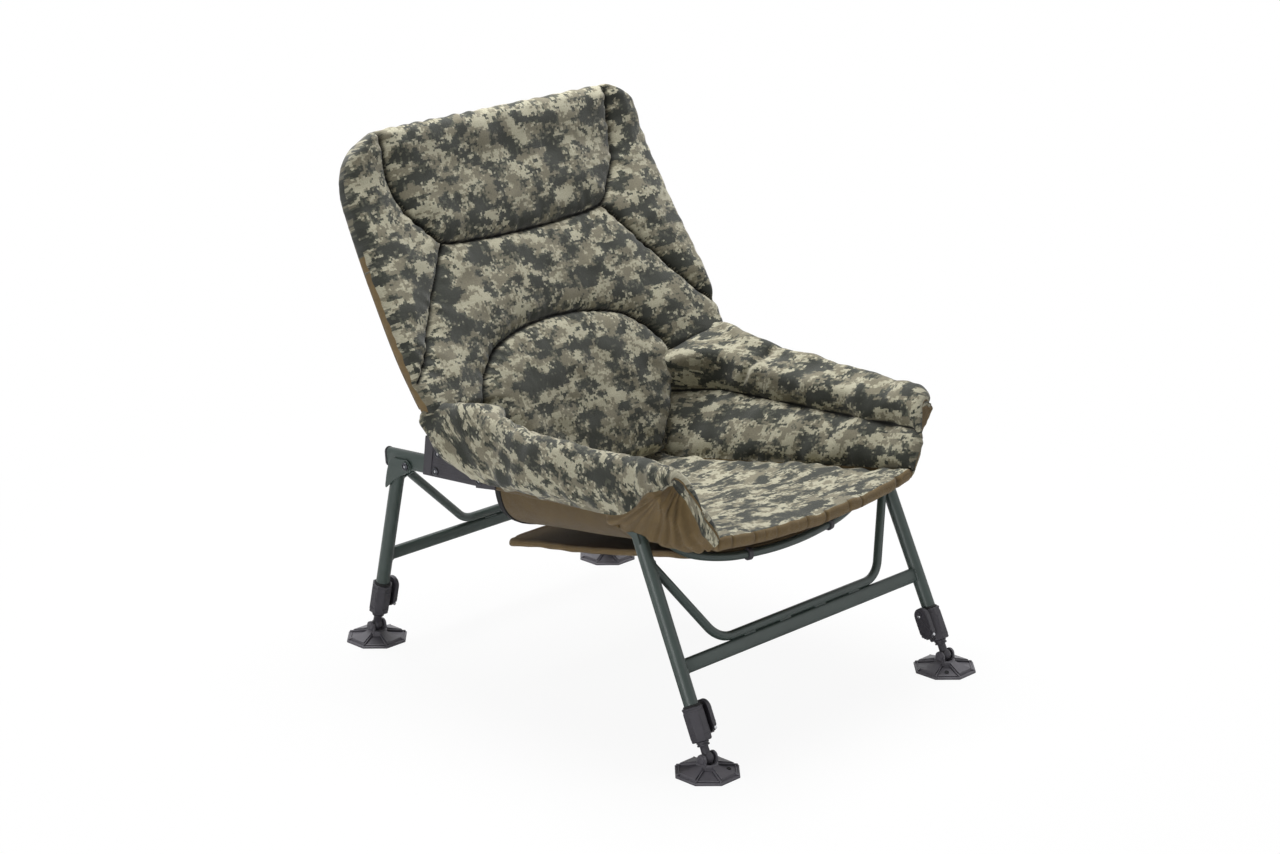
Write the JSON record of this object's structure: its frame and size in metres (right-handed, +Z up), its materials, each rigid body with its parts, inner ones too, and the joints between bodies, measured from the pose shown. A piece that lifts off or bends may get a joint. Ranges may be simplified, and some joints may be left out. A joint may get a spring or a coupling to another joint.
{
  "type": "folding recliner chair",
  "caption": "Low folding fishing armchair: a padded camouflage mattress with rolled arms on a tube frame, with a reclining back and telescopic legs on tilting mud feet.",
  "frame": {"origin": "on the ground, below the middle of the overall box", "axes": "+Z up, the chair faces -Y, the sitter's right-hand side is -X"},
  "size_m": [0.6752, 0.841, 0.8374],
  "materials": {
    "paint": "satin dark grey-green powder coat",
    "steel": "blackened steel",
    "plastic": "dark moulded plastic, fine texture",
    "camouflage": null,
    "canvas": "plain brown woven canvas"
  },
  "bodies": {
    "seat": {"right_seat_rail": "paint", "right_rail_cap": "plastic", "right_recliner_housing": "plastic", "right_recliner_rear_bolt": "steel", "right_recliner_front_bolt": "steel", "right_backrest_bolt": "steel", "right_rear_pivot_bolt": "steel", "right_front_pivot_bolt": "steel", "left_seat_rail": "paint", "left_rail_cap": "plastic", "left_recliner_housing": "plastic", "left_recliner_rear_bolt": "steel", "left_recliner_front_bolt": "steel", "left_backrest_bolt": "steel", "left_rear_pivot_bolt": "steel", "left_front_pivot_bolt": "steel", "front_bar": "paint", "right_bar_clip": "plastic", "left_bar_clip": "plastic", "seat_cushion": "camouflage", "seat_sling": "canvas", "under_seat_flap": "canvas", "right_side_panel": "camouflage", "right_arm_roll": "camouflage", "left_side_panel": "camouflage", "left_arm_roll": "camouflage"},
    "backrest": {"backrest_frame": "paint", "backrest_cover": "canvas", "back_cushion": "camouflage", "right_back_wing": "camouflage", "left_back_wing": "camouflage"},
    "front_legs": {"front_crossbar": "paint", "front_brace": "paint", "front_right_leg": "paint", "front_right_bracket": "paint", "front_right_clamp": "plastic", "front_left_leg": "paint", "front_left_bracket": "paint", "front_left_clamp": "plastic"},
    "rear_legs": {"rear_crossbar": "paint", "rear_brace": "paint", "rear_right_leg": "paint", "rear_right_bracket": "paint", "rear_right_clamp": "plastic", "rear_left_leg": "paint", "rear_left_bracket": "paint", "rear_left_clamp": "plastic"},
    "front_right_cam": {"front_right_lever": "plastic"},
    "front_right_extension": {"front_right_stem": "plastic"},
    "front_right_pad": {"front_right_foot": "plastic"},
    "front_left_cam": {"front_left_lever": "plastic"},
    "front_left_extension": {"front_left_stem": "plastic"},
    "front_left_pad": {"front_left_foot": "plastic"},
    "rear_right_cam": {"rear_right_lever": "plastic"},
    "rear_right_extension": {"rear_right_stem": "plastic"},
    "rear_right_pad": {"rear_right_foot": "plastic"},
    "rear_left_cam": {"rear_left_lever": "plastic"},
    "rear_left_extension": {"rear_left_stem": "plastic"},
    "rear_left_pad": {"rear_left_foot": "plastic"}
  },
  "joints": [
    {"name": "recline", "type": "hinge", "parent": "seat", "child": "backrest", "pos_m": [0, 0.19857, 0.36095], "axis": [1, 0, 0], "range_deg": [-30, 105], "deforming": ["right_back_wing", "right_side_panel", "right_arm_roll", "left_back_wing", "left_side_panel", "left_arm_roll", "backrest_cover"]},
    {"name": "front_leg_fold", "type": "hinge", "parent": "seat", "child": "front_legs", "pos_m": [0, -0.18153, 0.35816], "axis": [1, 0, 0], "range_deg": [0, 65]},
    {"name": "rear_leg_fold", "type": "hinge", "parent": "seat", "child": "rear_legs", "pos_m": [0, 0.28047, 0.31996], "axis": [-1, 0, 0], "range_deg": [0, 76], "deforming": ["under_seat_flap"]},
    {"name": "front_right_leg_length", "type": "slide", "parent": "front_legs", "child": "front_right_extension", "axis": [0.02, 0.4304, 0.9024], "range_m": [-0.09, 0]},
    {"name": "front_right_foot_tilt", "type": "hinge", "parent": "front_right_extension", "child": "front_right_pad", "pos_m": [-0.27682, -0.37303, 0.02403], "axis": [1, 0, 0], "range_deg": [-25, 25]},
    {"name": "front_right_clamp_lever", "type": "hinge", "parent": "front_legs", "child": "front_right_cam", "pos_m": [-0.25415, -0.35647, 0.05874], "axis": [0, 0.9026, -0.4305], "range_deg": [0, 100]},
    {"name": "front_left_leg_length", "type": "slide", "parent": "front_legs", "child": "front_left_extension", "axis": [-0.02, 0.4304, 0.9024], "range_m": [-0.09, 0]},
    {"name": "front_left_foot_tilt", "type": "hinge", "parent": "front_left_extension", "child": "front_left_pad", "pos_m": [0.27682, -0.37303, 0.02403], "axis": [1, 0, 0], "range_deg": [-25, 25]},
    {"name": "front_left_clamp_lever", "type": "hinge", "parent": "front_legs", "child": "front_left_cam", "pos_m": [0.25415, -0.35647, 0.05874], "axis": [0, -0.9026, 0.4305], "range_deg": [0, 100]},
    {"name": "rear_right_leg_length", "type": "slide", "parent": "rear_legs", "child": "rear_right_extension", "axis": [0.016, -0.2079, 0.978], "range_m": [-0.09, 0]},
    {"name": "rear_right_foot_tilt", "type": "hinge", "parent": "rear_right_extension", "child": "rear_right_pad", "pos_m": [-0.26703, 0.37303, 0.024], "axis": [1, 0, 0], "range_deg": [-25, 25]},
    {"name": "rear_right_clamp_lever", "type": "hinge", "parent": "rear_legs", "child": "rear_right_cam", "pos_m": [-0.24452, 0.36501, 0.0617], "axis": [0, 0.9781, 0.2079], "range_deg": [0, 100]},
    {"name": "rear_left_leg_length", "type": "slide", "parent": "rear_legs", "child": "rear_left_extension", "axis": [-0.016, -0.2079, 0.978], "range_m": [-0.09, 0]},
    {"name": "rear_left_foot_tilt", "type": "hinge", "parent": "rear_left_extension", "child": "rear_left_pad", "pos_m": [0.26703, 0.37303, 0.024], "axis": [1, 0, 0], "range_deg": [-25, 25]},
    {"name": "rear_left_clamp_lever", "type": "hinge", "parent": "rear_legs", "child": "rear_left_cam", "pos_m": [0.24452, 0.36501, 0.0617], "axis": [0, -0.9781, -0.2079], "range_deg": [0, 100]}
  ]
}
